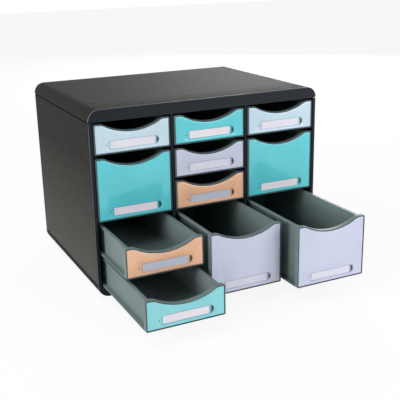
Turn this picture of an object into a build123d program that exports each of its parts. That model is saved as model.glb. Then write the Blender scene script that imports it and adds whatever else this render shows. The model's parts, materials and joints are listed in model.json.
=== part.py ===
from build123d import *
import os
from collections import namedtuple
from math import atan2, cos, sin

# Desktop module of mini drawers: a moulded case of three columns and five rows that
# holds eleven pull-out trays, some one row high and some two.
# X runs to the right, Y to the back and Z up, in millimetres. The origin is on the table,
# below the middle of the case, and the case front is at the lowest Y.

# Case
case_width = 355.0
case_depth = 270.0
case_height = 271.0  # table to top
cover_height = 16.6  # side seam below the top
base_height = 18.1  # side seam above the underside
base_front_drop = 3.5  # front wall of the base below its side seam
cover_edge_radius = 15.5  # long upper edges
base_edge_radius = 16.5  # long lower edges
shell_wall = 2.6
lip_edge = 0.9  # front edges of cover and base
fascia_border = 1.3
fascia_depth = 0.4
seam_gap = 1.0
seam_depth = 1.2
fit_gap = 0.2  # between pieces that are put together once

# Side panels, back panel and dividers
panel_thickness = 4.7
panel_frame = 7.0  # thick band round a panel's recessed inside
panel_edge_round = 1.8
panel_line_inset = 5.0
panel_line_width = 0.8
panel_line_depth = 0.4
tongue_thickness = 1.4
tongue_height = 4.0
back_thickness = 2.5
divider_thickness = 2.7
divider_setback = 1.0
divider_edge = 0.9
locating_rib = 1.5
locating_rib_height = 5.0

# Feet and the holes in the top
foot_height = 6.0
foot_radius = 8.0
foot_inset_x = 22.5  # centre of a foot from the side of the case
foot_inset_y = 30.0
top_hole_radius = 1.6
top_hole_inset_x = 22.5
top_hole_inset_front = 51.0
top_hole_inset_rear = 22.0

# Layout of the drawers
column_count = 3
row_count = 5
front_gap_side = 2.05
front_gap_row = 5.5
front_gap_top = 3.1
front_gap_bottom = 2.2

# Trays
front_thickness = 8.0
front_corner = 1.2  # cut corners of the front
front_back_edge = 1.0
shoulder_width = 8.5
shoulder_radius = 14.0
scoop_depth = 12.0
front_border = 1.5
flank_wall = 1.8
body_inset = 6.4  # tray wall behind the edge of its front
tray_wall = 1.9
tray_floor = 1.9
tray_corner = 4.0
flange_thickness = 1.6
rim_lip = 3.2
rim_thickness = 1.6
rim_drop = 1.5  # rim below the shoulders of the front
close_gap = 0.6  # closed tray to the back panel

# Face plates, label windows and label cards
face_thickness = 2.0
face_set = 0.3
holder_length = 77.0
holder_height = 12.4
holder_lift = 12.0  # centre of the holder above the lower edge of the front
holder_depth = 1.2
window_seat = 0.7  # the window rests on a step round the bed of the card
window_proud = 0.5
window_fit = 0.1
notch_radius = 5.4
card_length = 63.0
card_height = 10.5
card_thickness = 0.4
card_play = 0.3

# Runners
run_gap = 0.3  # tray flange above its ledge
ledge_thickness = 1.8
ledge_wall_gap = 1.0
ledge_setback = 3.0
guide_gap = 0.8
guide_thickness = 1.6
guide_overlap = 2.0
travel = 185.0
stop_clearance = 0.5
stop_length = 4.0
stop_height = 4.0
stop_wall_gap = 2.1
lug_width = 3.2
lug_height = 3.6
lug_length = 4.0
lug_lead = 2.0  # sloped back of the lug

# How far four of the drawers stand open
left_3_opening = 98.0
left_4_opening = 158.0
middle_4_opening = 104.0
right_3_opening = 136.0

# Levels
seam_low = foot_height + base_height
seam_high = case_height - cover_height
base_floor_top = foot_height + shell_wall
cover_ceiling = case_height - shell_wall
base_front_top = seam_low - base_front_drop
stack_bottom = base_front_top + front_gap_bottom
stack_top = seam_high - front_gap_top
front_height = (stack_top - stack_bottom - (row_count - 1) * front_gap_row) / row_count
row_pitch = front_height + front_gap_row
row_levels = [stack_bottom + row * row_pitch for row in range(row_count)]

# Widths
inner_width = case_width - 2 * panel_thickness
divider_width = (column_count - 1) * divider_thickness
front_width = (inner_width - divider_width - 2 * column_count * front_gap_side) / column_count
column_pitch = front_width + 2 * front_gap_side + divider_thickness
column_x = [(column - (column_count - 1) / 2) * column_pitch for column in range(column_count)]
divider_x = [x + column_pitch / 2 for x in column_x[:-1]]
body_width = front_width - 2 * body_inset

window_bay = holder_length - notch_radius

# Depths
front_y = -case_depth / 2
rear_y = case_depth / 2
rear_wall_y = rear_y - shell_wall
back_rear_y = rear_wall_y - fit_gap
back_front_y = back_rear_y - back_thickness
divider_rear_y = back_front_y - fit_gap
tray_length = back_front_y - close_gap - front_y
ledge_front_y = front_y + front_thickness + ledge_setback
ledge_length = divider_rear_y - ledge_front_y
lug_start = ledge_front_y + stop_length + stop_clearance + travel - front_y

# Patterns of the feet and of the holes in the top
foot_spacing_x = case_width - 2 * foot_inset_x
foot_spacing_y = case_depth - 2 * foot_inset_y
top_hole_spacing_x = case_width - 2 * top_hole_inset_x
top_hole_spacing_y = case_depth - top_hole_inset_front - top_hole_inset_rear
top_hole_middle_y = (top_hole_inset_front - top_hole_inset_rear) / 2

case_front = Plane((0, front_y, 0), x_dir=(1, 0, 0), z_dir=(0, -1, 0))

os.makedirs("parts", exist_ok=True)


def save(part, name):
    part.label = name
    export_step(part, f"parts/{name}.step")


def shell_outline(low, high, radius, rounded_end):
    """Outline of the cover or the base, with its two rounded corners at rounded_end."""
    with BuildSketch() as outline:
        with Locations((0, (low + high) / 2)):
            Rectangle(case_width, high - low)
        fillet(outline.vertices().group_by(Axis.Y)[rounded_end], radius)
    return outline.sketch


def fascia_outline(low, high, radius, rounded_end):
    """Sunk field of a fascia: it runs out at the seam and leaves a border elsewhere."""
    shift = fascia_border / 2 if rounded_end == 0 else -fascia_border / 2
    with BuildSketch() as outline:
        with Locations((0, (low + high) / 2 + shift)):
            Rectangle(case_width - 2 * fascia_border, high - low - fascia_border)
        fillet(outline.vertices().group_by(Axis.Y)[rounded_end], radius - fascia_border)
    return outline.sketch


# pairs of ribs that hold the edge of each divider, inside the cover and the base
rib_spacing = divider_thickness + 2 * fit_gap + locating_rib
rib_x = [x + side * rib_spacing / 2 for x in divider_x for side in (-1, 1)]
rib_length = back_front_y - fit_gap - (front_y + shell_wall)
rib_middle_y = front_y + shell_wall + rib_length / 2

with BuildPart() as top_cover:
    with BuildSketch(case_front):
        add(shell_outline(seam_high, case_height, cover_edge_radius, -1))
    extrude(amount=-case_depth)
    chamfer(top_cover.faces().sort_by(Axis.Y)[0].edges().sort_by(Axis.Z)[-1], lip_edge)
    open_side = top_cover.faces().sort_by(Axis.Z)[0]
    offset(amount=-shell_wall, openings=open_side)
    with BuildSketch(case_front):
        add(fascia_outline(seam_high, case_height, cover_edge_radius, -1))
    extrude(amount=-fascia_depth, mode=Mode.SUBTRACT)
    with BuildSketch(Plane.XY.offset(cover_ceiling)):
        with Locations(*[(x, rib_middle_y) for x in rib_x]):
            Rectangle(locating_rib, rib_length)
    extrude(amount=-locating_rib_height)
    with BuildSketch(Plane.XY.offset(case_height)):
        with Locations((0, top_hole_middle_y)):
            with GridLocations(top_hole_spacing_x, top_hole_spacing_y, 2, 2):
                Circle(top_hole_radius)
    extrude(amount=-shell_wall, mode=Mode.SUBTRACT)
save(top_cover.part, "top_cover")

with BuildPart() as base:
    with BuildSketch(case_front):
        add(shell_outline(foot_height, seam_low, base_edge_radius, 0))
    extrude(amount=-case_depth)
    chamfer(base.faces().sort_by(Axis.Y)[0].edges().sort_by(Axis.Z)[0], lip_edge)
    open_side = base.faces().sort_by(Axis.Z)[-1]
    offset(amount=-shell_wall, openings=open_side)
    # the front wall stands lower between the side panels, below the last row of fronts
    with BuildSketch(case_front):
        with Locations((0, base_front_top)):
            Rectangle(inner_width, 2 * base_front_drop, align=(Align.CENTER, Align.MIN))
    extrude(amount=-shell_wall, mode=Mode.SUBTRACT)
    with BuildSketch(case_front):
        add(fascia_outline(foot_height, seam_low, base_edge_radius, 0))
    extrude(amount=-fascia_depth, mode=Mode.SUBTRACT)
    with BuildSketch(Plane.XY.offset(base_floor_top)):
        with Locations(*[(x, rib_middle_y) for x in rib_x]):
            Rectangle(locating_rib, rib_length)
    extrude(amount=locating_rib_height)
save(base.part, "base")

with BuildPart() as feet:
    with BuildSketch():
        with GridLocations(foot_spacing_x, foot_spacing_y, 2, 2):
            Circle(foot_radius)
    extrude(amount=foot_height)
save(feet.part, "feet")

with BuildPart() as back_panel:
    with BuildSketch(Plane((0, back_rear_y, 0), x_dir=(1, 0, 0), z_dir=(0, -1, 0))) as sheet:
        with Locations((0, (base_floor_top + cover_ceiling) / 2)):
            Rectangle(
                inner_width + 2 * tongue_thickness - 2 * fit_gap,
                cover_ceiling - base_floor_top,
            )
        chamfer(sheet.vertices().group_by(Axis.Y)[0], base_edge_radius - shell_wall)
        chamfer(sheet.vertices().group_by(Axis.Y)[-1], cover_edge_radius - shell_wall)
    extrude(amount=back_thickness)
save(back_panel.part, "back_panel")


# Section of a ledge, guide and stop at one row, measured from the wall that carries them.
ledge_reach = front_gap_side + body_inset - ledge_wall_gap
guide_reach = front_gap_side + guide_overlap
stop_reach = front_gap_side + body_inset - stop_wall_gap
guide_lift = flange_thickness + guide_gap


def runner_section(root, reach, low, high):
    """A strip of a runner, from inside its wall out to reach, facing +X."""
    with BuildSketch() as strip:
        with Locations((-root, low)):
            Rectangle(root + reach, high - low, align=Align.MIN)
    return strip.sketch


def runners(root):
    """Ledges, guides and stops of every row on a wall whose face is at X 0."""
    ledge_plane = Plane((0, ledge_front_y, 0), x_dir=(1, 0, 0), z_dir=(0, -1, 0))
    with BuildPart() as rails:
        for level in row_levels:
            with BuildSketch(ledge_plane):
                ledge_top = level - run_gap
                guide_low = level + guide_lift
                add(runner_section(root, ledge_reach, ledge_top - ledge_thickness, ledge_top))
                add(runner_section(root, guide_reach, guide_low, guide_low + guide_thickness))
            extrude(amount=-ledge_length)
            with BuildSketch(ledge_plane):
                add(runner_section(root, stop_reach, guide_low, guide_low + stop_height))
            extrude(amount=-stop_length)
    return rails.part


left_face_x = -case_width / 2

with BuildPart() as left_side_panel:
    # section with the seam groove and a tongue above and below
    with BuildSketch(case_front):
        with BuildLine():
            shoulder_x = left_face_x + seam_depth
            tongue_x = left_face_x + panel_thickness - tongue_thickness
            inner_x = left_face_x + panel_thickness
            Polyline(
                (left_face_x, seam_low + seam_gap),
                (shoulder_x, seam_low + seam_gap),
                (shoulder_x, seam_low),
                (tongue_x, seam_low),
                (tongue_x, seam_low - tongue_height),
                (inner_x, seam_low - tongue_height),
                (inner_x, seam_high + tongue_height),
                (tongue_x, seam_high + tongue_height),
                (tongue_x, seam_high),
                (shoulder_x, seam_high),
                (shoulder_x, seam_high - seam_gap),
                (left_face_x, seam_high - seam_gap),
                close=True,
            )
        make_face()
    extrude(amount=-case_depth)
    upright = left_side_panel.edges().filter_by(Axis.Z).group_by(Axis.X)[0]
    fillet(upright, panel_edge_round)
    # the tongues end behind the front walls and before the rear walls of cover and base
    tongue_end = shell_wall + fit_gap
    with BuildSketch(Plane.YZ.offset(tongue_x)):
        for end_y in (front_y + tongue_end / 2, rear_y - tongue_end / 2):
            for end_z in (seam_low - tongue_height / 2, seam_high + tongue_height / 2):
                with Locations((end_y, end_z)):
                    Rectangle(tongue_end, tongue_height)
    extrude(amount=tongue_thickness, mode=Mode.SUBTRACT)
    # recessed inside, open to the groove of the back panel
    recess_low = seam_low + panel_frame
    recess_high = seam_high - panel_frame
    with BuildSketch(Plane.YZ.offset(inner_x)):
        with Locations((front_y + panel_frame, recess_low)):
            Rectangle(back_rear_y - front_y - panel_frame, recess_high - recess_low, align=Align.MIN)
        with Locations((back_front_y - fit_gap, seam_low - tongue_height)):
            Rectangle(
                back_thickness + 2 * fit_gap,
                seam_high - seam_low + 2 * tongue_height,
                align=Align.MIN,
            )
    extrude(amount=-tongue_thickness, mode=Mode.SUBTRACT)
    # a fine upright line near the front and the back of the outside
    with BuildSketch(Plane.YZ.offset(left_face_x)):
        for line_y in (front_y + panel_line_inset, rear_y - panel_line_inset):
            with Locations((line_y, (seam_low + seam_high) / 2)):
                Rectangle(panel_line_width, seam_high - seam_low - 2 * seam_gap)
    extrude(amount=panel_line_depth, mode=Mode.SUBTRACT)
    add(Pos(inner_x, 0, 0) * runners(tongue_thickness))
save(left_side_panel.part, "left_side_panel")

with BuildPart() as right_side_panel:
    mirror(left_side_panel.part, about=Plane.YZ)
save(right_side_panel.part, "right_side_panel")


def column_divider(x):
    """Upright wall between two columns, with runners on both faces."""
    with BuildPart() as divider:
        with BuildSketch(Plane.YZ.offset(x - divider_thickness / 2)):
            with BuildLine():
                edge_y = front_y + divider_setback
                notch_y = front_y + shell_wall + fit_gap
                Polyline(
                    (notch_y, base_floor_top),
                    (divider_rear_y, base_floor_top),
                    (divider_rear_y, cover_ceiling),
                    (notch_y, cover_ceiling),
                    (notch_y, seam_high - fit_gap),
                    (edge_y, seam_high - fit_gap),
                    (edge_y, base_front_top + fit_gap),
                    (notch_y, base_front_top + fit_gap),
                    close=True,
                )
            make_face()
        extrude(amount=divider_thickness)
        chamfer(divider.faces().sort_by(Axis.Y)[0].edges().filter_by(Axis.Z), divider_edge)
        rails = Pos(divider_thickness / 2, 0, 0) * runners(divider_thickness / 2)
        add(Pos(x, 0, 0) * rails)
        add(Pos(x, 0, 0) * rails.mirror(Plane.YZ))
    return divider.part


for name, x in zip(("left_divider", "right_divider"), divider_x):
    save(column_divider(x), name)


def front_shape(height, inset, corner):
    """Front with a scooped top: flat shoulders that roll over into one broad hollow.

    The hollow's arc touches both shoulder arcs, so inset keeps all three centres.
    """
    half = front_width / 2 - inset
    top = height - inset
    shoulder_x = front_width / 2 - shoulder_width
    scoop_radius = (shoulder_x**2 + scoop_depth**2) / (2 * scoop_depth) - shoulder_radius
    centre_z = height - scoop_depth + scoop_radius
    shoulder_z = height - shoulder_radius
    lean = atan2(shoulder_x, centre_z - shoulder_z)
    roll = shoulder_radius - inset
    hollow = scoop_radius + inset
    meet_x = shoulder_x - roll * sin(lean)
    meet_z = shoulder_z + roll * cos(lean)
    roll_mid = (shoulder_x - roll * sin(lean / 2), shoulder_z + roll * cos(lean / 2))
    with BuildSketch() as shape:
        with BuildLine():
            Polyline(
                (-shoulder_x, top),
                (-half, top),
                (-half, inset),
                (half, inset),
                (half, top),
                (shoulder_x, top),
            )
            ThreePointArc((shoulder_x, top), roll_mid, (meet_x, meet_z))
            ThreePointArc((meet_x, meet_z), (0, centre_z - hollow), (-meet_x, meet_z))
            ThreePointArc((-meet_x, meet_z), (-roll_mid[0], roll_mid[1]), (-shoulder_x, top))
        make_face()
        for end in (0, -1):
            chamfer(shape.vertices().group_by(Axis.X)[end], corner)
    return shape.sketch


def card_bed():
    """Bed of the label card, with a half-round end at the right for a fingertip."""
    with BuildSketch() as shape:
        with Locations((0, holder_lift)):
            Rectangle(card_length + card_play, card_height + card_play)
        with Locations((holder_length / 2 - notch_radius, holder_lift)):
            Circle(notch_radius)
    return shape.sketch


def window_shape(clearance):
    """Outline of the window, which covers the holder up to the middle of the notch."""
    with BuildSketch() as shape:
        with Locations((-notch_radius / 2, holder_lift)):
            Rectangle(window_bay - 2 * clearance, holder_height - 2 * clearance)
    return shape.sketch


def make_tray(x, y, z, height):
    """Open tray with its front, rim and running flanges; y is the face of its front."""
    ground = Plane((x, y, z))
    face = Plane((x, y, z), x_dir=(1, 0, 0), z_dir=(0, -1, 0))
    rim_z = height - rim_drop
    body_length = tray_length - front_thickness
    with BuildPart() as tray:
        with BuildSketch(face):
            add(front_shape(height, 0, front_corner))
        extrude(amount=-front_thickness)
        scoop_low = z + height - scoop_depth - fit_gap
        back_edges = tray.faces().sort_by(Axis.Y)[-1].edges()
        chamfer(back_edges.filter_by(lambda edge: edge.center().Z > scoop_low), front_back_edge)
        # hollow flanks behind the front, beside the tray's walls
        flank_width = body_inset - flank_wall
        flank_depth = front_thickness - face_set - face_thickness - flank_wall
        with BuildSketch(face.offset(-front_thickness)):
            for side in (-1, 1):
                with Locations((side * (body_width + flank_width) / 2, flange_thickness)):
                    Rectangle(
                        flank_width,
                        rim_z - rim_thickness - flange_thickness,
                        align=(Align.CENTER, Align.MIN),
                    )
        extrude(amount=flank_depth, mode=Mode.SUBTRACT)
        # bottom with flanges, walls and rim
        with BuildSketch(ground):
            with Locations((0, front_thickness)):
                Rectangle(front_width, body_length, align=(Align.CENTER, Align.MIN))
        extrude(amount=flange_thickness)
        with BuildSketch(ground):
            with Locations((0, front_thickness)):
                Rectangle(body_width, body_length, align=(Align.CENTER, Align.MIN))
        extrude(amount=rim_z)
        with BuildSketch(ground.offset(rim_z - rim_thickness)):
            with Locations((0, front_thickness)):
                Rectangle(body_width + 2 * rim_lip, body_length, align=(Align.CENTER, Align.MIN))
        extrude(amount=rim_thickness)
        with BuildSketch(ground.offset(tray_floor)):
            with Locations((0, front_thickness + (body_length - tray_wall) / 2)):
                RectangleRounded(body_width - 2 * tray_wall, body_length - tray_wall, tray_corner)
        extrude(amount=height, mode=Mode.SUBTRACT)
        # bed of the face plate
        with BuildSketch(face):
            add(front_shape(height, front_border, front_corner))
        extrude(amount=-face_set - face_thickness, mode=Mode.SUBTRACT)
        # stop lugs on the flanges, sloped at the back so that the tray can be pushed in
        for side in (-1, 1):
            foot = (x + side * body_width / 2, y, z + flange_thickness)
            with BuildSketch(Plane(foot, x_dir=(0, 1, 0), z_dir=(side, 0, 0))):
                with BuildLine():
                    up = lug_height * side
                    Polyline(
                        (lug_start, 0),
                        (lug_start, up),
                        (lug_start + lug_length, up),
                        (lug_start + lug_length + lug_lead, 0),
                        close=True,
                    )
                make_face()
            extrude(amount=lug_width)
    return tray.part


def make_face_plate(x, y, z, height):
    """Coloured plate in the front, with the bed of its label and a notch for a fingertip."""
    face = Plane((x, y + face_set, z), x_dir=(1, 0, 0), z_dir=(0, -1, 0))
    with BuildPart() as plate:
        with BuildSketch(face):
            add(front_shape(height, front_border + window_fit, front_corner))
        extrude(amount=-face_thickness)
        with BuildSketch(face):
            add(window_shape(0))
        extrude(amount=-window_seat, mode=Mode.SUBTRACT)
        with BuildSketch(face):
            add(card_bed())
        extrude(amount=-holder_depth, mode=Mode.SUBTRACT)
    return plate.part


def make_window(x, y, z):
    """Clear cover of the label, a little proud of the plate, with the card behind it."""
    seat = Plane((x, y + face_set + window_seat, z), x_dir=(1, 0, 0), z_dir=(0, -1, 0))
    with BuildPart() as window:
        with BuildSketch(seat):
            add(window_shape(window_fit))
        extrude(amount=window_seat + window_proud)
    return window.part


def make_card(x, y, z):
    """Label card, lying against the bed of the plate."""
    bed = Plane((x, y + face_set + holder_depth, z), x_dir=(1, 0, 0), z_dir=(0, -1, 0))
    with BuildPart() as card:
        with BuildSketch(bed):
            with Locations((0, holder_lift)):
                Rectangle(card_length, card_height)
        extrude(amount=card_thickness)
    return card.part


# rows are counted from the top, and a drawer stands in as many rows as it is high
Drawer = namedtuple("Drawer", "name column top_row rows opening")
drawers = [
    Drawer("left_drawer_1", 0, 0, 1, 0),
    Drawer("left_drawer_2", 0, 1, 2, 0),
    Drawer("left_drawer_3", 0, 3, 1, left_3_opening),
    Drawer("left_drawer_4", 0, 4, 1, left_4_opening),
    Drawer("middle_drawer_1", 1, 0, 1, 0),
    Drawer("middle_drawer_2", 1, 1, 1, 0),
    Drawer("middle_drawer_3", 1, 2, 1, 0),
    Drawer("middle_drawer_4", 1, 3, 2, middle_4_opening),
    Drawer("right_drawer_1", 2, 0, 1, 0),
    Drawer("right_drawer_2", 2, 1, 2, 0),
    Drawer("right_drawer_3", 2, 3, 2, right_3_opening),
]

for drawer in drawers:
    x = column_x[drawer.column]
    y = front_y - drawer.opening
    z = row_levels[row_count - drawer.top_row - drawer.rows]
    height = drawer.rows * row_pitch - front_gap_row
    save(make_tray(x, y, z, height), f"{drawer.name}_tray")
    save(make_face_plate(x, y, z, height), f"{drawer.name}_face")
    save(make_window(x, y, z), f"{drawer.name}_label_window")
    save(make_card(x, y, z), f"{drawer.name}_label_card")
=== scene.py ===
import json
import math

import bmesh
import bpy
import numpy as np
from mathutils import Matrix, Vector

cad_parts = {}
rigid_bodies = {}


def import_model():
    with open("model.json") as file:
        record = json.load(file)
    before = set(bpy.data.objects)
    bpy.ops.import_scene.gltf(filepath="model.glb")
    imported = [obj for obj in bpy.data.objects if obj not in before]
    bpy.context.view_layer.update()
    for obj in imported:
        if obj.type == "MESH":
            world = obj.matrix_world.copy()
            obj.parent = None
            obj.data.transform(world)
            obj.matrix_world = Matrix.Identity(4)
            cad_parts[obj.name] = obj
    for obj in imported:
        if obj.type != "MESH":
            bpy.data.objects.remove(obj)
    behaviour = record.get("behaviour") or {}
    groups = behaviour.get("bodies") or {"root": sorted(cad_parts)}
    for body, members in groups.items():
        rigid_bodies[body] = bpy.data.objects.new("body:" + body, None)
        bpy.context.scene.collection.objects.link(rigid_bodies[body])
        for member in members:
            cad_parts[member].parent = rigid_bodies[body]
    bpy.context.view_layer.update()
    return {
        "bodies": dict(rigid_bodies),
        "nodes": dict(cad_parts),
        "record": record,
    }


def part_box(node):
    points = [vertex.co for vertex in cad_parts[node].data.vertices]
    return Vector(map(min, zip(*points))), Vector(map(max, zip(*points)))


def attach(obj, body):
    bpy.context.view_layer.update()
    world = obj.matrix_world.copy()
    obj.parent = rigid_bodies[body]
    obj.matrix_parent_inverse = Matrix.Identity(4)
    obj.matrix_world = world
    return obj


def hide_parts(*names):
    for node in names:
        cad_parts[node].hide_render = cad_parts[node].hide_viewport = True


# Desktop case of mini drawers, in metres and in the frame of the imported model: X to the right,
# Y to the back, Z up. The closed fronts share the lowest Y of the case.

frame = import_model()
bodies = frame["bodies"]
cadNodes = frame["nodes"]
slotOf = {part["node"]: part["material_slot"] for part in frame["record"]["subparts"]}
drawerNames = sorted(name for name in bodies if name != "case")
print("frame loaded:", len(cadNodes), "nodes,", len(drawerNames), "drawers")


def colour(red, green, blue):
    # screen values from 0 to 255, turned into the linear colour that shaders take
    screen = np.array([red, green, blue]) / 255
    linear = np.where(screen <= 0.04045, screen / 12.92, ((screen + 0.055) / 1.055) ** 2.4)
    return (*linear.tolist(), 1.0)


def bend(start, end, steps):
    # quarter of an ellipse from start to end, leaving start along the second coordinate
    turn = np.linspace(0, math.pi / 2, steps + 1)[:, None]
    start, end = np.array(start, float), np.array(end, float)
    across, along = (end - start) * [1, 0], (end - start) * [0, 1]
    return start + across * (1 - np.cos(turn)) + along * np.sin(turn)


def edgeOf(lattice):
    # the closed loop round a lattice: bottom row, right column, top row, left column
    return np.concatenate([lattice[0], lattice[1:-1, -1], lattice[-1, ::-1], lattice[-2:0:-1, 0]])


def spread(across, low, high, rows=(0.0, 1.0)):
    # lattice over the area between two curves with the same x: z = low + row * (high - low)
    rows = np.array(rows)[:, None]
    return np.stack([np.broadcast_to(across, (len(rows), len(across))), low + rows * (high - low)], -1)


def atDepth(flat, depth):
    # (x, z) points moved to a depth y behind the face, one depth for all or one for each
    return np.stack([flat[..., 0], np.broadcast_to(depth, flat.shape[:-1]), flat[..., 1]], -1)


def carried(loops, depths):
    # one closed loop after another, each at its own depth: a profile carried round an outline
    return np.stack([atDepth(loop, depth) for loop, depth in zip(loops, depths)])


def gridFaces(rows, columns, closed):
    # corner numbers of the quads between neighbouring rows and columns: row * columns + column
    last = columns if closed else columns - 1
    row, column = np.meshgrid(np.arange(rows - 1), np.arange(last), indexing="ij")
    beside = (column + 1) % columns
    corners = [row * columns + column, row * columns + beside,
               (row + 1) * columns + beside, (row + 1) * columns + column]
    return np.stack(corners, -1).reshape(-1, 4)


joinLook = {"touching": 2e-6, "vanishing": 1e-6, "sharpAngle": 32}  # metres, metres, degrees


def makePiece(name, patches, place, materials, body):
    # patches are (grid of points, closed or not, material number), joined where they touch.
    # A quad with a corner that is not a number is left open, for a hole with a patch of its own.
    points, faces, numbers, count = [], [], [], 0
    for grid, closed, number in patches:
        rows, columns = grid.shape[:2]
        quads = gridFaces(rows, columns, closed) + count
        points.append(grid.reshape(-1, 3))
        faces.append(quads)
        numbers.append(np.full(len(quads), number))
        count += rows * columns
    points, faces, numbers = np.concatenate(points), np.concatenate(faces), np.concatenate(numbers)
    whole = np.isfinite(points[faces]).all(axis=(1, 2))
    used, faces = np.unique(faces[whole], return_inverse=True)
    points = points[used] + np.array(place)
    mesh = bpy.data.meshes.new(name)
    mesh.from_pydata(points.tolist(), [], faces.reshape(-1, 4).tolist())
    for material in materials:
        mesh.materials.append(material)
    mesh.polygons.foreach_set("material_index", numbers[whole].astype(np.int32))
    work = bmesh.new()
    work.from_mesh(mesh)
    bmesh.ops.remove_doubles(work, verts=work.verts, dist=joinLook["touching"])
    bmesh.ops.dissolve_degenerate(work, edges=work.edges, dist=joinLook["vanishing"])
    bmesh.ops.holes_fill(work, edges=work.edges, sides=0)
    bmesh.ops.recalc_face_normals(work, faces=work.faces)
    work.to_mesh(mesh)
    work.free()
    mesh.shade_smooth()
    mesh.set_sharp_from_angle(angle=math.radians(joinLook["sharpAngle"]))
    piece = bpy.data.objects.new(name, mesh)
    bpy.context.scene.collection.objects.link(piece)
    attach(piece, body)
    return piece


class Wire:
    # an output socket with arithmetic: every operator adds one Math node
    def __init__(self, paint, socket):
        self.paint = paint
        self.socket = socket

    def math(self, operation, first, second, clamp=False):
        settings = {"operation": operation, "use_clamp": clamp}
        return self.paint.add("ShaderNodeMath", settings, {0: first, 1: second})

    def __add__(self, other):
        return self.math("ADD", self, other)

    def __sub__(self, other):
        return self.math("SUBTRACT", self, other)

    def __rsub__(self, other):
        return self.math("SUBTRACT", other, self)

    def __mul__(self, other):
        return self.math("MULTIPLY", self, other)

    def __lt__(self, other):
        return self.math("LESS_THAN", self, other)

    __radd__ = __add__
    __rmul__ = __mul__


class Paint:
    # the node tree of a material or a world, empty but for its output
    def __init__(self, owner):
        self.owner = owner
        owner.use_nodes = True
        self.tree = owner.node_tree
        self.tree.nodes.clear()

    def add(self, kind, settings=None, sockets=None, output=0):
        # any node: its settings come first, then the values or links of its sockets
        node = self.tree.nodes.new(kind)
        for key, value in (settings or {}).items():
            if key == "stops":
                for stop, (position, level) in zip(node.color_ramp.elements, value):
                    stop.position = position
                    stop.color = (level, level, level, 1)
            else:
                setattr(node, key, value)
        for key, value in (sockets or {}).items():
            if isinstance(value, Wire):
                self.tree.links.new(value.socket, node.inputs[key])
            else:
                node.inputs[key].default_value = value
        return Wire(self, node.outputs[output]) if len(node.outputs) else None

    def place(self):
        return self.add("ShaderNodeTexCoord", output=3)  # object coordinates

    def noise(self, scale, detail=2.0, stretch=(1, 1, 1)):
        where = self.add("ShaderNodeMapping", None, {0: self.place(), 3: stretch})  # 3 is its scale
        return self.add("ShaderNodeTexNoise", None, {"Vector": where, "Scale": scale, "Detail": detail})

    def ramp(self, value, low, high):
        stops = [(low, 0.0), (high, 1.0)]
        return self.add("ShaderNodeValToRGB", {"stops": stops}, {0: value})

    def mix(self, factor, first, second):
        # of two colours, whose sockets are 6 and 7, with the result at output 2
        return self.add("ShaderNodeMix", {"data_type": "RGBA"}, {0: factor, 6: first, 7: second}, 2)

    def bump(self, height, distance):
        return self.add("ShaderNodeBump", None, {"Strength": 1.0, "Distance": distance, "Height": height})

    def finish(self, **sockets):
        names = {key.replace("_", " "): value for key, value in sockets.items()}
        shader = self.add("ShaderNodeBsdfPrincipled", None, names)
        self.add("ShaderNodeOutputMaterial", None, {"Surface": shader})
        return self.owner


# edge is a painted highlight: the pale colour of the rounded edges just behind the front
caseLook = {"colour": (19, 19, 18), "paleTone": (38, 38, 37), "fascia": (34, 38, 44), "edge": (104, 108, 116),
            "roughness": 0.72, "roughRange": 0.15, "smoothRoughness": 0.34, "specular": 0.065,
            "fieldDepth": 0.00045, "smoothDepth": 0.0017, "pebble": 620.0, "pebbleEase": 0.35,
            "pebbleShare": 0.75, "wander": 248.0, "wanderShare": 0.5, "pebbleDepth": 0.00026,
            "cloud": 140.0, "cloudShare": 0.15, "mottle": (0.35, 0.75)}
# on a side panel the pale tone is also the colour that the painted reflection of the floor fades to at the
# foot
panelLook = {**caseLook, "colour": (13, 13, 13), "paleTone": (71, 71, 69), "edge": (72, 74, 80),
             "grooveShade": (3, 3, 3), "faceDepth": 0.0003, "paintedFloorReflection": (0.04, 0.2), "paintedReflectionShare": 0.7}
dividerLook = {**caseLook, "edge": (42, 49, 58)}
# painted shade: near-black for the walls of the holes in the top
holeShadeLook = {**caseLook, "colour": (4, 4, 4), "paleTone": (7, 7, 7)}
backLook = {**caseLook, "colour": (30, 30, 30), "paleTone": (52, 52, 51)}


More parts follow.
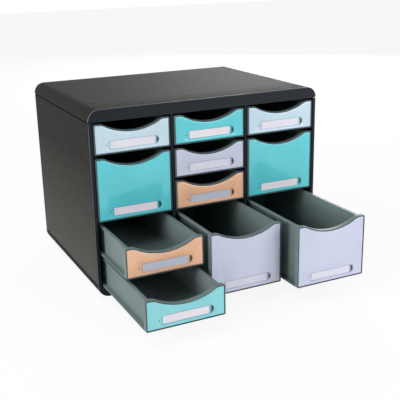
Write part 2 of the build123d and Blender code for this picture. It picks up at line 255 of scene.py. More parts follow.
def casePlastic(name, look, front, side=None):
    # leather-like grain everywhere but within smoothDepth of the very front, which is smooth: its
    # field is dark, and its rounded edges are a pale painted highlight. On a side panel, with side
    # given as the x of its outer face, a painted reflection of the floor makes it paler towards the foot,
    # and painted shade makes the seam groove near-black.
    paint = Paint(bpy.data.materials.new(name))
    along = [paint.add("ShaderNodeSeparateXYZ", None, {0: paint.place()}, axis) for axis in range(3)]
    field = along[1] < front + look["fieldDepth"]
    smooth = along[1] < front + look["smoothDepth"]
    wander = paint.noise(look["wander"])
    pebble = paint.add("ShaderNodeTexVoronoi", {"feature": "SMOOTH_F1"},
                       {"Vector": paint.place(), "Scale": look["pebble"], "Smoothness": look["pebbleEase"]})
    grain = (1 - pebble) * look["pebbleShare"] + wander * look["wanderShare"]
    cloud = paint.noise(look["cloud"], 3.0)
    mottled = grain * (1 - look["cloudShare"]) + cloud * look["cloudShare"]
    mottled = paint.ramp(mottled, *look["mottle"])
    if side:
        # painted reflection of the floor: paler towards the foot, darker towards the top
        paintedFloorReflection = 1 - paint.ramp(along[2], *look["paintedFloorReflection"])
        mottled = mottled * (1 - look["paintedReflectionShare"]) + paintedFloorReflection * look["paintedReflectionShare"]
    body = paint.mix(mottled, colour(*look["colour"]), colour(*look["paleTone"]))
    if side:
        # painted shade: all but the panel's outer face, the seam groove with it, is near-black
        inside = along[0].math("ABSOLUTE", along[0], 0) < side - look["faceDepth"]
        body = paint.mix(inside, body, colour(*look["grooveShade"]))
    # painted highlight: the band behind the dark field, over the rounded lip, takes the pale edge colour
    fascia = paint.mix(field, colour(*look["edge"]), colour(*look["fascia"]))
    rough = look["roughness"] + (cloud - 0.5) * look["roughRange"]
    return paint.finish(
        Base_Color=paint.mix(smooth, body, fascia),
        Roughness=rough + smooth * (look["smoothRoughness"] - look["roughness"]),
        Normal=paint.bump(grain * (1 - smooth), look["pebbleDepth"]),
        Specular_IOR_Level=look["specular"])


rubberLook = {"colour": (36, 36, 38), "dusty": (58, 58, 58), "roughness": 0.75, "roughRange": 0.2,
              "dust": 400.0, "dustRange": (0.4, 0.7), "dustDepth": 0.0001}


def footRubber():
    # plain black rubber with a little dust
    look = rubberLook
    paint = Paint(bpy.data.materials.new("footRubber"))
    dust = paint.noise(look["dust"], 3.0)
    body = paint.mix(paint.ramp(dust, *look["dustRange"]), colour(*look["colour"]), colour(*look["dusty"]))
    return paint.finish(Base_Color=body, Roughness=look["roughness"] + (dust - 0.5) * look["roughRange"],
                        Normal=paint.bump(dust, look["dustDepth"]))


trayLook = {"colour": (106, 122, 123), "shade": (97, 112, 114), "roughness": 0.5, "roughRange": 0.15,
            "specular": 0.12, "skin": 2600.0, "skinDepth": 0.00003, "flow": 30.0,
            "flowStretch": (1, 0.25, 1), "flowRange": (0.35, 0.7)}
# painted shade: a darker copy of the tray plastic for the front border and the bed
borderShadeLook = {**trayLook, "colour": (62, 78, 84), "shade": (56, 71, 77)}


def trayPlastic(name, look):
    # satin slate plastic, with a faint flow pattern along the tray and a fine eroded skin
    paint = Paint(bpy.data.materials.new(name))
    skin = paint.noise(look["skin"])
    flow = paint.noise(look["flow"], stretch=look["flowStretch"])
    body = paint.mix(paint.ramp(flow, *look["flowRange"]), colour(*look["shade"]), colour(*look["colour"]))
    return paint.finish(Base_Color=body, Roughness=look["roughness"] + (skin - 0.5) * look["roughRange"],
                        Normal=paint.bump(skin, look["skinDepth"]), Specular_IOR_Level=look["specular"])


faceLook = {"face_light_blue": (187, 212, 227), "face_teal": (88, 199, 210),
            "face_lavender": (192, 196, 219), "face_peach": (233, 182, 148)}
paleTint = {"left_drawer_4": (131, 206, 213)}  # the drawer whose teal is a paler one
glossLook = {"paler": 7, "cloud": 14.0, "cloudRange": (0.35, 0.7), "roughness": 0.1, "roughRange": 0.04,
             "ripple": 60.0, "rippleDepth": 0.00003, "coat": 0.15, "coatRoughness": 0.04,
             "shares": {"": 1.0, "Well": 0.3, "Pocket": 0.8}}


def facePlastic(name, tint):
    # glossy moulded plastic: faint cloudiness in the colour and a slow ripple in the gloss
    look = glossLook
    paint = Paint(bpy.data.materials.new(name))
    pale = np.minimum(255, np.array(tint) + look["paler"])
    cloud = paint.noise(look["cloud"])
    ripple = paint.noise(look["ripple"], 1.0)
    body = paint.mix(paint.ramp(cloud, *look["cloudRange"]), colour(*tint), colour(*pale))
    return paint.finish(Base_Color=body, Roughness=look["roughness"] + (cloud - 0.5) * look["roughRange"],
                        Normal=paint.bump(ripple, look["rippleDepth"]), Coat_Weight=look["coat"],
                        Coat_Roughness=look["coatRoughness"])


cardLook = {"face_light_blue": (229, 226, 237), "face_teal": (233, 226, 236),
            "face_lavender": (217, 218, 231), "face_peach": (188, 198, 214)}
paperLook = {"darker": 3, "fibre": 5200.0, "fibreStretch": (0.5, 1, 1), "fibreRange": (0.3, 0.75),
             "fibreDepth": 0.000001, "roughness": 0.8, "roughRange": 0.1}


def cardPaper(slot):
    # plain card with short fibres, tinted by what it reflects of the coloured bed round it
    look, tint = paperLook, np.array(cardLook[slot])
    paint = Paint(bpy.data.materials.new(slot.replace("face_", "card")))
    fibre = paint.noise(look["fibre"], 3.0, look["fibreStretch"])
    fibres = paint.ramp(fibre, *look["fibreRange"])
    body = paint.mix(fibres, colour(*(tint - look["darker"])), colour(*tint))
    return paint.finish(Base_Color=body, Roughness=look["roughness"] + (fibre - 0.5) * look["roughRange"],
                        Normal=paint.bump(fibre, look["fibreDepth"]))


# the edge colour and its alpha paint the strip's rounded edges darker and less clear: painted shade
# standing in for refraction
windowLook = {"colour": (236, 240, 246), "edge": (165, 180, 205), "alpha": 0.06, "edgeShadeAlpha": 0.3,
              "backAlpha": 0.02, "alphaRange": 0.02, "darker": 8, "roughness": 0.1, "roughRange": 0.04,
              "marks": 3000.0, "marksStretch": (0.12, 1, 1)}


def windowPlastic(name, tint, alpha):
    # clear strip, faintly blue, with fine rubbing marks along it
    look = windowLook
    paint = Paint(bpy.data.materials.new(name))
    marks = paint.noise(look["marks"], 3.0, look["marksStretch"])
    body = paint.mix(marks, colour(*(np.array(tint) - look["darker"])), colour(*tint))
    return paint.finish(Base_Color=body, Roughness=look["roughness"] + marks * look["roughRange"],
                        Alpha=alpha + (marks - 0.5) * look["alphaRange"])


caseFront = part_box("top_cover")[0].y
caseFinish = casePlastic("casePlastic", caseLook, caseFront)
panelFinish = casePlastic("panelPlastic", panelLook, caseFront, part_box("right_side_panel")[1].x)
dividerFinish = casePlastic("dividerPlastic", dividerLook, caseFront)
holeShadeFinish = casePlastic("holeShadePlastic", holeShadeLook, caseFront)
backFinish = casePlastic("backPlastic", backLook, caseFront)
cadFinish = {"left_side_panel": panelFinish, "right_side_panel": panelFinish,
             "left_divider": dividerFinish, "right_divider": dividerFinish, "back_panel": backFinish}
rubberFinish = footRubber()
trayFinish = trayPlastic("trayPlastic", trayLook)
borderShadeFinish = trayPlastic("borderShadePlastic", borderShadeLook)


def plateSet(name, tint):
    # the plate, and its colour in the shade of the well and of the pocket round it
    return [facePlastic(name + part, np.array(tint) * share) for part, share in glossLook["shares"].items()]


plateFinish = {slot: plateSet(slot.replace("_", ""), tint) for slot, tint in faceLook.items()}
paleFinish = {drawer: plateSet("paleTeal", tint) for drawer, tint in paleTint.items()}
cardFinish = {slot: cardPaper(slot) for slot in cardLook}
windowFinish = windowPlastic("windowPlastic", windowLook["colour"], windowLook["alpha"])
# painted shade on the window's rounded edges
windowEdgeShadeFinish = windowPlastic("windowEdgeShade", windowLook["edge"], windowLook["edgeShadeAlpha"])
windowBackFinish = windowPlastic("windowBack", windowLook["colour"], windowLook["backAlpha"])
windowSet = [windowFinish, windowEdgeShadeFinish, windowBackFinish]

for node, finish in cadFinish.items():
    cadNodes[node].data.materials.clear()
    cadNodes[node].data.materials.append(finish)
print("finishes ready")


shellShape = {"coverRound": 0.0155, "baseRound": 0.0165, "sideSteps": 5, "topSteps": 8, "wall": 0.0026,
              "lip": 0.0011, "lipSteps": 4, "border": 0.0013, "sunk": 0.0004, "sunkEdge": 0.0002,
              "rearEdge": 0.0005, "rearSteps": 3, "panel": 0.0047, "frontDrop": 0.0035, "seam": 0.0008}
holeShape = {"radius": 0.0016, "edge": 0.0003, "block": 0.004, "cells": 5, "fromSide": 0.0225,
             "fromFront": 0.051, "fromRear": 0.022, "columnsBetween": (-0.2, 0, 0.2),
             "rowsBetween": (0.4, 0.6)}
ribShape = {"apart": 0.0046, "width": 0.0015, "height": 0.005, "sunk": 0.0003, "rearGap": 0.0055}


def archColumns(half, height, radius, inset, lines):
    # x and z of an arch with rounded shoulders, drawn in by inset: x = c + r cos(t), z = h + r sin(t).
    # The column over the inner face of the side panel stands twice, so that a wall can step there.
    shape = shellShape
    corner = radius - inset
    stepTurn = math.acos((half - shape["panel"] - (half - radius)) / corner)
    turn = np.concatenate([np.linspace(0, stepTurn, shape["sideSteps"]),
                           np.linspace(stepTurn, math.pi / 2, shape["topSteps"])])
    side = half - radius + corner * np.cos(turn)
    rise = height - radius + corner * np.sin(turn)
    across = np.concatenate([-side, lines, side[::-1]])
    return across, np.concatenate([rise, np.full(len(lines), height - inset), rise[::-1]])


def tub(half, depth, height, radius, drop, lines, stops):
    # a moulded tray of the case, open below: its arch is carried from the front to the rear with a
    # rounded lip and a sunk fascia, once outside and once inside, and a rim joins the two. Its side
    # edges stop short by the seam, and its front edge by drop.
    shape = shellShape
    lip, border, wall, rear = shape["lip"], shape["border"], shape["wall"], shape["rearEdge"]
    seam = shape["seam"]
    profile = np.concatenate([
        [(border + shape["sunkEdge"], shape["sunk"]), (border, 0)],
        bend((0, lip), (lip, 0), shape["lipSteps"])[::-1],
        np.column_stack([np.zeros(len(stops)), stops]),
        bend((0, depth - rear), (rear, depth), shape["rearSteps"])])
    inward = np.column_stack([np.full(len(profile), wall), np.clip(profile[:, 1], wall, depth - wall)])
    patches, rims, skins = [], [], []
    for stations in (profile, inward):
        arches = [archColumns(half, height, radius, inset, lines) for inset, y in stations]
        flats = [np.column_stack([[across[0], *across, across[-1]], [seam, *rise, seam]])
                 for across, rise in arches]
        skin = carried(flats, stations[:, 1])
        lows = np.full((2, len(arches[0][0])), seam)
        lows[:, shape["sideSteps"]:-shape["sideSteps"]] = [[drop], [0]]
        front = atDepth(spread(arches[0][0], lows[0], arches[0][1]), stations[0, 1])
        back = atDepth(spread(arches[-1][0], lows[1], arches[-1][1]), stations[-1, 1])
        rims.append(np.concatenate([front[0], skin[1:-1, -1], back[0, ::-1], skin[-2:0:-1, 0]]))
        patches += [(front, False, 0), (back, False, 0)]
        skins.append(skin)
    return patches + [(np.stack(rims), True, 0)], skins


def topHole(skins, row, column, centre):
    # the block of quads round a hole is left open, and rings run from its edge down through it:
    # each ring is centre + distance * direction of the block's edge points
    shape = holeShape
    size = shape["cells"] + 1
    blocks = [skin[row:row + size, column:column + size] for skin in skins]
    edges = [edgeOf(block.copy()) for block in blocks]
    away = edges[0][:, :2] - centre
    away = away / np.linalg.norm(away, axis=1, keepdims=True)
    top, under = edges[0][0, 2], edges[1][0, 2]
    radius, edge = shape["radius"], shape["edge"]
    rings = [np.column_stack([centre + away * distance, np.full(len(away), z)])
             for distance, z in [(radius + edge, top), (radius, top - edge), (radius, under)]]
    for block in blocks:
        block[1:-1, 1:-1] = np.nan
    # the wall down through the hole takes material 1, which is painted shade
    return [(np.stack([edges[0], *rings[:2]]), True, 0), (np.stack(rings[1:]), True, 1),
            (np.stack([rings[2], edges[1]]), True, 0)]


def rib(x, start, end, ceiling):
    # upright strip under a ceiling that holds the edge of a divider
    half = ribShape["width"] / 2
    top, foot = ceiling + ribShape["sunk"], ceiling - ribShape["height"]
    loop = np.array([(x - half, top), (x - half, foot), (x + half, foot), (x + half, top)])
    return (carried([loop, loop], [start, end]), True, 0)


def makeShell(name, node, radius, drop, flip, holed):
    # the cover as it stands, or with flip -1 the base, its mirror form
    shell, holes, ribs = shellShape, holeShape, ribShape
    low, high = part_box(node)
    width, depth, height = high - low
    holeX = width / 2 - holes["fromSide"]
    holeY = [holes["fromFront"], depth - holes["fromRear"]]
    cells = np.linspace(-holes["block"], holes["block"], holes["cells"] + 1)
    lines = np.concatenate([-holeX + cells, width * np.array(holes["columnsBetween"]), holeX + cells])
    stops = np.concatenate([holeY[0] + cells, depth * np.array(holes["rowsBetween"]), holeY[1] + cells])
    patches, skins = tub(width / 2, depth, height, radius, drop, lines, stops)
    if holed:
        firstColumn = 1 + shell["sideSteps"] + shell["topSteps"]  # past the seam edge and the shoulder
        columns = [firstColumn, firstColumn + len(lines) - len(cells)]
        firstRow = 2 + shell["lipSteps"] + 1  # past the sunk edge of the fascia and the lip
        rows = [firstRow, firstRow + len(stops) - len(cells)]
        for column, x in zip(columns, (-holeX, holeX)):
            for row, y in zip(rows, holeY):
                patches += topHole(skins, row, column, np.array([x, y]))
    patches += [(skin, False, 0) for skin in skins]
    for divider in ("left_divider", "right_divider"):
        x = sum(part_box(divider), Vector()).x / 2
        for side in (-0.5, 0.5):
            patches.append(rib(x + side * ribs["apart"], shell["wall"], depth - ribs["rearGap"],
                               height - shell["wall"]))
    patches = [(grid * [1, 1, flip], closed, number) for grid, closed, number in patches]
    place = (0, low.y, low.z if flip > 0 else high.z)
    piece = makePiece(name, patches, place, [caseFinish, holeShadeFinish], "case")
    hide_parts(node)


makeShell("coverShell", "top_cover", shellShape["coverRound"], 0.0, 1, True)
makeShell("baseShell", "base", shellShape["baseRound"], shellShape["frontDrop"], -1, False)

footShape = {"radius": 0.008, "round": 0.0014, "taper": 0.0004, "seat": 0.0045, "seatEdge": 0.0003,
             "points": 40, "roundSteps": 5}


def footPatch(centreX, centreY, height):
    # a turned foot: profile of (radius, z) carried round an upright axis
    shape = footShape
    base = shape["radius"] - shape["taper"]
    profile = np.concatenate([
        [(shape["seat"], shape["seatEdge"]), (shape["seat"] + shape["seatEdge"], 0)],
        bend((base, shape["round"]), (base - shape["round"], 0), shape["roundSteps"])[::-1],
        [(shape["radius"], height)]])
    turn = np.linspace(0, 2 * math.pi, shape["points"], endpoint=False)
    rings = [np.column_stack([centreX + radius * np.cos(turn), centreY + radius * np.sin(turn),
                              np.full(len(turn), z)]) for radius, z in profile]
    return (np.stack(rings), True, 0)


low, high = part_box("feet")
centres = [(x, y) for x in (low.x + footShape["radius"], high.x - footShape["radius"])
           for y in (low.y + footShape["radius"], high.y - footShape["radius"])]
feet = makePiece("rubberFeet", [footPatch(x, y, high.z - low.z) for x, y in centres], (0, 0, low.z),
                 [rubberFinish], "case")
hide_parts("feet")
print("case made")


frontShape = {"corner": 0.0016, "cornerEase": 0.45, "shoulder": 0.0085, "roll": 0.014, "scoop": 0.012,
              "cornerSteps": 5, "rollSteps": 9, "scoopSteps": 16}


def scoopedOutline(width, height, inset, stops=()):
    # columns of a front whose top has flat shoulders that roll over into one broad hollow.
    # Hollow and roll are arcs that touch, so an inset keeps their centres and changes radii.
    shape = frontShape
    shoulderX = width / 2 - shape["shoulder"]
    hollow = (shoulderX**2 + shape["scoop"]**2) / (2 * shape["scoop"]) - shape["roll"]
    hollowZ = height - shape["scoop"] + hollow
    rollZ = height - shape["roll"]
    lean = math.atan2(shoulderX, hollowZ - rollZ)
    swing = np.linspace(0, lean, shape["scoopSteps"])
    scoopX = (hollow + inset) * np.sin(swing)
    scoopZ = hollowZ - (hollow + inset) * np.cos(swing)
    swing = np.linspace(lean, 0, shape["rollSteps"])[1:]
    rollX = shoulderX - (shape["roll"] - inset) * np.sin(swing)
    rollTop = rollZ + (shape["roll"] - inset) * np.cos(swing)
    corner = shape["corner"] - shape["cornerEase"] * inset
    cornerX = width / 2 - inset - corner
    stopX = shoulderX + np.array(stops) * (cornerX - shoulderX)
    turn = np.linspace(0, math.pi / 2, shape["cornerSteps"])
    drop = corner * (1 - np.cos(turn))
    top = height - inset
    across = np.concatenate([scoopX, rollX, stopX, cornerX + corner * np.sin(turn)])
    high = np.concatenate([scoopZ, rollTop, np.full(len(stopX), top), top - drop])
    low = np.concatenate([np.full(len(across) - len(drop), inset), inset + drop])
    return (np.concatenate([-across[:0:-1], across]),
            np.concatenate([low[:0:-1], low]), np.concatenate([high[:0:-1], high]))


trayShape = {"front": 0.008, "border": 0.0015, "bed": 0.0023, "lipEdge": 0.0004, "backEdge": 0.0008,
             "bodyInset": 0.0064, "wall": 0.0019, "floor": 0.0019, "corner": 0.004, "floorEdge": 0.0014,
             "flange": 0.0016, "rimLip": 0.0032, "rim": 0.0016, "rimDrop": 0.0015, "rimEdge": 0.0004,
             "flankDepth": 0.0039, "flankStops": (0.32, 0.97), "rearStep": 0.0003, "rearCorner": 0.0008,
             "buried": 0.0005, "edgeSteps": 3, "broadSteps": 4, "turnPoints": 7, "sidePoints": 6}


def trayFront(width, height):
    # the front as a ring carried round its outline, closed by its bed and its back. Beside the body
    # the back is hollow, between the two flank stops and between the flange and the rim.
    shape = trayShape
    near, far = shape["flankStops"]
    stops = (near, near, far, far)
    back, edgeSteps = shape["backEdge"], shape["edgeSteps"]
    rimZ = height - shape["rimDrop"] - shape["rim"]
    lowShare = (shape["flange"] - back) / (height - 2 * back)
    highShare = (rimZ - back) / (height - 2 * back)
    rows = (0, lowShare, lowShare, highShare, highShare, 1)
    lip = shape["lipEdge"]
    profile = np.concatenate([
        [(shape["border"], shape["bed"])],
        bend((shape["border"], lip), (shape["border"] - lip, 0), edgeSteps),
        bend((0, lip), (lip, 0), edgeSteps)[::-1],
        bend((0, shape["front"] - back), (back, shape["front"]), shape["broadSteps"])])
    lattices = [spread(*scoopedOutline(width, height, inset, stops), rows) for inset, depth in profile]
    rings = carried([edgeOf(lattice) for lattice in lattices], profile[:, 1])
    bed = atDepth(lattices[0], profile[0, 1])
    behind = atDepth(lattices[-1], profile[-1, 1]).copy()
    outer = frontShape["cornerSteps"] + 1  # the inner one of the two columns at the far stop
    hollow = np.array([outer, outer + 1])
    hollow = np.concatenate([hollow, -1 - hollow])
    behind[2:4, hollow, 1] -= shape["flankDepth"]
    lipRows = edgeSteps + 3  # the bed, the inner edge and the flat of the border, which are painted darker as shade
    return [(rings[:lipRows], True, 1), (rings[lipRows - 1:], True, 0), (bed, False, 1), (behind, False, 0)]


def wallPath(half, frontY, rearY, frontRadius, rearRadius):
    # plan of a tray wall: back along the left side, across the rear, forward along the right. The
    # first corner is x = c - r sin(t), y = c - r cos(t), and the rear one turns the other way.
    turn = np.linspace(0, math.pi / 2, trayShape["turnPoints"])[:, None]
    ahead = np.hstack([-half + frontRadius * (1 - np.sin(turn)), frontY + frontRadius * (1 - np.cos(turn))])
    side = np.linspace(frontY + frontRadius, rearY - rearRadius, trayShape["sidePoints"])[1:-1, None]
    side = np.hstack([np.full_like(side, -half), side])
    around = np.hstack([-half + rearRadius * (1 - np.cos(turn)), rearY - rearRadius * (1 - np.sin(turn))])
    left = np.concatenate([ahead, side, around])
    return np.concatenate([left, [(0, rearY)], left[::-1] * [-1, 1]])


def trayBody(width, length, height):
    # floor, walls, rim and flanges as one profile carried along the plan of the walls
    shape = trayShape
    half = width / 2 - shape["bodyInset"]
    inner = half - shape["wall"]
    rimHalf = half + shape["rimLip"]
    rimZ = height - shape["rimDrop"]
    edge, floorEdge, flange = shape["rimEdge"], shape["floorEdge"], shape["flange"]
    edgeSteps = shape["edgeSteps"]
    setback = length - shape["rearStep"]
    rimFoot = rimZ - shape["rim"]
    inside = np.concatenate([
        bend((inner - floorEdge, shape["floor"]), (inner, shape["floor"] + floorEdge), shape["broadSteps"]),
        bend((inner, rimZ - edge), (inner + edge, rimZ), edgeSteps)])
    rimEdge = bend((rimHalf, rimZ - edge), (rimHalf - edge, rimZ), edgeSteps)[::-1]
    flangeEdge = bend((width / 2, flange - edge), (width / 2 - edge, flange), edgeSteps)[::-1]
    underEdge = bend((width / 2, edge), (width / 2 - edge, 0), edgeSteps)
    outside = [(x, setback, z) for x, z in rimEdge]
    outside += [(rimHalf, setback, rimFoot), (half, length, rimFoot), (half, length, flange)]
    outside += [(x, setback, z) for x, z in np.concatenate([flangeEdge, underEdge])]
    start = shape["front"] - shape["buried"]
    rows = []
    for across, up in inside:
        shift = across - inner
        radius = shape["corner"] + shift
        plan = wallPath(across, shape["front"], length - shape["wall"] + shift, radius, radius)
        plan[[0, -1], 1] = start
        rows.append(np.column_stack([plan, np.full(len(plan), up)]))
    for across, rear, up in outside:
        plan = wallPath(across, start, rear, 0.0, shape["rearCorner"])
        rows.append(np.column_stack([plan, np.full(len(plan), up)]))
    return [(np.stack([rows[0] * [0, 1, 1], *rows, rows[-1] * [0, 1, 1]]), False, 0)]


lugShape = {"start": 0.2005, "length": 0.004, "lead": 0.002, "height": 0.0036, "width": 0.0032,
            "buried": 0.0002}


def trayLugs(width):
    # stop lugs on the flanges: an outline in the YZ plane carried across, upright in front
    half = width / 2 - trayShape["bodyInset"]
    y = lugShape["start"]
    foot = trayShape["flange"] - lugShape["buried"]
    top = trayShape["flange"] + lugShape["height"]
    rear = y + lugShape["length"]
    outline = np.array([(y, foot), (y, top), (rear, top), (rear + lugShape["lead"], foot)])
    patches = []
    for side in (-1, 1):
        ends = [side * (half - lugShape["buried"]), side * (half + lugShape["width"])]
        loops = [np.column_stack([np.full(len(outline), x), outline]) for x in ends]
        patches.append((np.stack(loops), True, 0))
    return patches


plateShape = {"inset": 0.0017, "set": 0.0003, "back": 0.00228, "crownWidth": 0.0016,
              "crownDepth": 0.0005, "crownSteps": 6}
holderShape = {"half": 0.0385, "halfHeight": 0.0062, "lift": 0.012, "edge": 0.00025, "edgeSteps": 3,
               "endSteps": 10, "shelfTo": -0.0342, "shelf": 0.0004, "bed": 0.0012,
               "pocketFrom": 0.0336, "pocket": 0.0016, "pip": 0.0009, "pipX": -0.0367,
               "wellX": 0.0375, "wellShare": (0.55, 1.0, 0.68), "well": 0.0019}


def stadium(half, halfHeight, radius, columns, steps, grow=0.0):
    # columns of a bar with rounded ends: x = half - r (1 - cos t), height = middle + r sin t
    half, halfHeight, radius = half + grow, halfHeight + grow, radius + grow
    turn = np.linspace(0, math.pi / 2, steps)
    end = half - radius * (1 - np.cos(turn))
    reach = halfHeight - radius + radius * np.sin(turn)
    inner = np.linspace(-end[-1], end[-1], columns - 2 * steps + 2)[1:-1]
    across = np.concatenate([-end, inner, end[::-1]])
    tall = np.concatenate([reach, np.full(len(inner), halfHeight), reach[::-1]])
    return across, tall


def holderLattice(columns, grow):
    # columns of the label holder, with the two that stand over its steps doubled
    shape = holderShape
    across, tall = stadium(shape["half"], shape["halfHeight"], shape["halfHeight"], columns - 2,
                           shape["endSteps"], grow)
    for step in (shape["shelfTo"], shape["pocketFrom"]):
        at = int(np.argmin(np.abs(across - step)))
        across, tall = np.insert(across, at, across[at]), np.insert(tall, at, tall[at])
    return spread(across, shape["lift"] - tall, shape["lift"] + tall)


def facePlate(width, height):
    # the plate's outline, crowned at its edge, drawn in to the holder: a shelf with a pip at the
    # left, the bed of the card, and at the right a pocket with a well for a fingertip. The well's
    # ring is centre + share * (edge of the pocket - centre), and the pip's ring is round.
    plate, holder = plateShape, holderShape
    crown = bend((plate["inset"], plate["set"] + plate["crownDepth"]),
                 (plate["inset"] + plate["crownWidth"], plate["set"]), plate["crownSteps"])
    outline = spread(*scoopedOutline(width, height, plate["inset"]))
    columns = outline.shape[1]
    loops, depths = [edgeOf(outline)], [plate["back"]]
    for inset, depth in crown:
        loops.append(edgeOf(spread(*scoopedOutline(width, height, inset))))
        depths.append(depth)
    for grow, depth in bend((0, holder["edge"]), (holder["edge"], 0), holder["edgeSteps"])[::-1]:
        loops.append(edgeOf(holderLattice(columns, grow)))
        depths.append(plate["set"] + depth)
    floor = holderLattice(columns, 0.0)
    twin = np.flatnonzero(np.diff(floor[0, :, 0]) == 0)
    shelfEnd, pocketStart = int(twin[0]), int(twin[-1]) + 1
    sunk = np.full(columns, holder["bed"])
    sunk[:shelfEnd + 1] = holder["shelf"]
    sunk[pocketStart:] = holder["pocket"]
    floor = atDepth(floor, plate["set"] + sunk)
    rings = np.concatenate([carried(loops, depths), edgeOf(floor)[None]])
    patches = [(rings, True, 0), (atDepth(outline, plate["back"]), False, 0),
               (floor[:, shelfEnd:pocketStart + 1], False, 0)]
    pipEdge = edgeOf(floor[:, :shelfEnd + 1])
    centre = np.array([holder["pipX"], plate["set"] + holder["shelf"], holder["lift"]])
    away = pipEdge - centre
    pipRing = centre + away / np.linalg.norm(away, axis=1, keepdims=True) * holder["pip"]
    deep = np.array([0, holder["well"] - holder["shelf"], 0])
    patches.append((np.stack([pipEdge, pipRing]), True, 0))
    # painted shade: the pip's hole walls take the well's dark shade
    patches.append((np.stack([pipRing, pipRing + deep]), True, 1))
    wellEdge = edgeOf(floor[:, pocketStart:])
    centre = np.array([holder["wellX"], plate["set"] + holder["pocket"], holder["lift"]])
    wellRing = centre + (wellEdge - centre) * holder["wellShare"]
    deep = np.array([0, holder["well"] - holder["pocket"], 0])
    # painted shade: the pocket floor round the well takes the pocket's lighter shade, and the well's wall
    # the darkest
    patches.append((np.stack([wellEdge, wellRing]), True, 2))
    patches.append((np.stack([wellRing, wellRing + deep]), True, 1))
    return patches


windowShape = {"low": -0.0341, "high": 0.0334, "halfHeight": 0.00605, "proud": 0.0002, "back": 0.0010,
               "edge": 0.0004, "edgeSteps": 4, "corner": 0.0008, "cornerSteps": 5, "columns": 16}


def labelWindow():
    # clear bar with soft edges: its outline drawn in by the inset of each row of the profile
    shape, lift = windowShape, holderShape["lift"]
    half, shift = (shape["high"] - shape["low"]) / 2, (shape["high"] + shape["low"]) / 2
    edge, proud = shape["edge"], shape["proud"]
    rounding = bend((0, edge - proud), (edge, -proud), shape["edgeSteps"])
    profile = np.concatenate([[(0, shape["back"])], rounding])
    lattices = []
    for inset, depth in profile:
        across, tall = stadium(half, shape["halfHeight"], shape["corner"], shape["columns"],
                               shape["cornerSteps"], -inset)
        lattices.append(spread(across + shift, lift - tall, lift + tall))
    rings = carried([edgeOf(lattice) for lattice in lattices], profile[:, 1])
    return [(rings, True, 1), (atDepth(lattices[0], profile[0, 1]), False, 2),
            (atDepth(lattices[-1], profile[-1, 1]), False, 0)]


cardShape = {"half": 0.0315, "halfHeight": 0.00525, "front": 0.0011, "back": 0.0015, "radius": 0.0004,
             "cornerSteps": 4, "columns": 12}


def labelCard():
    # thin card with slightly rounded corners: one outline at two depths
    shape, lift = cardShape, holderShape["lift"]
    across, tall = stadium(shape["half"], shape["halfHeight"], shape["radius"], shape["columns"],
                           shape["cornerSteps"])
    lattice = spread(across, lift - tall, lift + tall)
    rings = carried([edgeOf(lattice)] * 2, [shape["front"], shape["back"]])
    return [(rings, True, 0), (atDepth(lattice, shape["front"]), False, 0),
            (atDepth(lattice, shape["back"]), False, 0)]


def makeDrawer(drawer):
    # tray, face plate, window and card of one drawer, fitted to the box of its tray
    low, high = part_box(f"{drawer}_tray")
    width, length, height = high - low
    place = ((low.x + high.x) / 2, low.y, low.z)
    slot = slotOf[f"{drawer}_face"]
    patches = trayFront(width, height) + trayBody(width, length, height) + trayLugs(width)
    trayFinishes = [trayFinish, borderShadeFinish]
    tray = makePiece(f"{drawer}_trayShell", patches, place, trayFinishes, drawer)
    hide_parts(f"{drawer}_tray")
    finish = paleFinish.get(drawer, plateFinish[slot])
    plate = makePiece(f"{drawer}_facePlate", facePlate(width, height), place, finish, drawer)
    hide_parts(f"{drawer}_face")
    window = makePiece(f"{drawer}_clearWindow", labelWindow(), place, windowSet, drawer)
    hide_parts(f"{drawer}_label_window")
    card = makePiece(f"{drawer}_card", labelCard(), place, [cardFinish[slot]], drawer)
    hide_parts(f"{drawer}_label_card")


for drawer in drawerNames:
    makeDrawer(drawer)
print("drawers made")


stageLook = {"reach": 6.0, "floor": (244, 244, 244), "speck": (248, 248, 248), "speckScale": 60.0,
             "glow": 0.9, "sky": 0.3, "aim": (0, 0, 0.12)}


def seenDirectly(paint):
    # 1 for rays that show the background itself: camera, glossy and transmission rays
    straight, mirrored, through = [paint.add("ShaderNodeLightPath", output=number) for number in (0, 3, 6)]
    return straight.math("ADD", straight + mirrored, through, True)


floorPaint = Paint(bpy.data.materials.new("floorPaper"))
specks = floorPaint.noise(stageLook["speckScale"])
floorColour = floorPaint.mix(specks, colour(*stageLook["floor"]), colour(*stageLook["speck"]))
floorDiffuse = floorPaint.add("ShaderNodeBsdfDiffuse", None, {"Color": floorColour})
floorGlow = floorPaint.add("ShaderNodeEmission", None, {"Strength": 1.0})
share = seenDirectly(floorPaint) * stageLook["glow"]
floorMix = floorPaint.add("ShaderNodeMixShader", None, {0: share, 1: floorDiffuse, 2: floorGlow})
floorPaint.add("ShaderNodeOutputMaterial", None, {"Surface": floorMix})
floorMesh = bpy.data.meshes.new("floor")
reach = stageLook["reach"]
floorMesh.from_pydata([(-reach, -reach, 0), (reach, -reach, 0), (reach, reach, 0), (-reach, reach, 0)],
                      [], [(0, 1, 2, 3)])
floorMesh.materials.append(floorPaint.owner)
floor = bpy.data.objects.new("floor", floorMesh)
bpy.context.scene.collection.objects.link(floor)

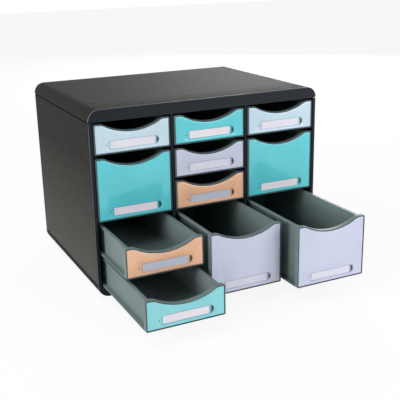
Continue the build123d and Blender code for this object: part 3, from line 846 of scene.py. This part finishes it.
skyPaint = Paint(bpy.data.worlds.new("studio"))
bpy.context.scene.world = skyPaint.owner
skyLevel = stageLook["sky"] + seenDirectly(skyPaint) * (1 - stageLook["sky"])
sky = skyPaint.add("ShaderNodeBackground", None, {"Color": (1, 1, 1, 1), "Strength": skyLevel})
skyPaint.add("ShaderNodeOutputWorld", None, {"Surface": sky})

lampPlan = {
    "keyLamp": {"at": (0.9, -1.4, 0.48), "size": 1.0, "power": 14.0, "tint": (1.0, 1.0, 1.0)},
    "leftLamp": {"at": (-1.7, -0.3, 0.65), "size": 0.9, "power": 26.0, "tint": (1.0, 0.97, 0.9)},
    "topLamp": {"at": (-0.6, -0.1, 1.5), "size": 0.9, "power": 6.0, "tint": (1.0, 1.0, 1.0)},
    "rearLamp": {"at": (1.45, 1.85, 0.82), "size": 1.1, "power": 40.0, "tint": (1.0, 1.0, 1.0)}}
for lampName, plan in lampPlan.items():
    lamp = bpy.data.lights.new(lampName, "AREA")
    lamp.shape = "SQUARE"
    lamp.size = plan["size"]
    lamp.energy = plan["power"]
    lamp.color = plan["tint"]
    lampObject = bpy.data.objects.new(lampName, lamp)
    lampObject.location = plan["at"]
    aim = Vector(stageLook["aim"]) - Vector(plan["at"])
    lampObject.rotation_euler = aim.to_track_quat("-Z", "Y").to_euler()
    bpy.context.scene.collection.objects.link(lampObject)

cameraPlan = {"at": (-0.4724, -1.0733, 0.4589), "toward": (0.24635, 0.41119, -0.06932),
              "roll": -1.203, "lens": 68.56, "sensor": 36.0}
camera = bpy.data.objects.new("camera", bpy.data.cameras.new("camera"))
camera.data.lens = cameraPlan["lens"]
camera.data.sensor_width = cameraPlan["sensor"]
forward = (Vector(cameraPlan["toward"]) - Vector(cameraPlan["at"])).normalized()
level = forward.cross(Vector((0, 0, 1))).normalized()
upward = level.cross(forward)
roll = math.radians(cameraPlan["roll"])
right = level * math.cos(roll) + upward * math.sin(roll)
upright = upward * math.cos(roll) - level * math.sin(roll)
turned = Matrix((right, upright, -forward)).transposed()
camera.matrix_world = Matrix.Translation(cameraPlan["at"]) @ turned.to_4x4()
bpy.context.scene.collection.objects.link(camera)
bpy.context.scene.camera = camera
bpy.context.scene.view_settings.view_transform = "Standard"
print("stage, light and camera set")
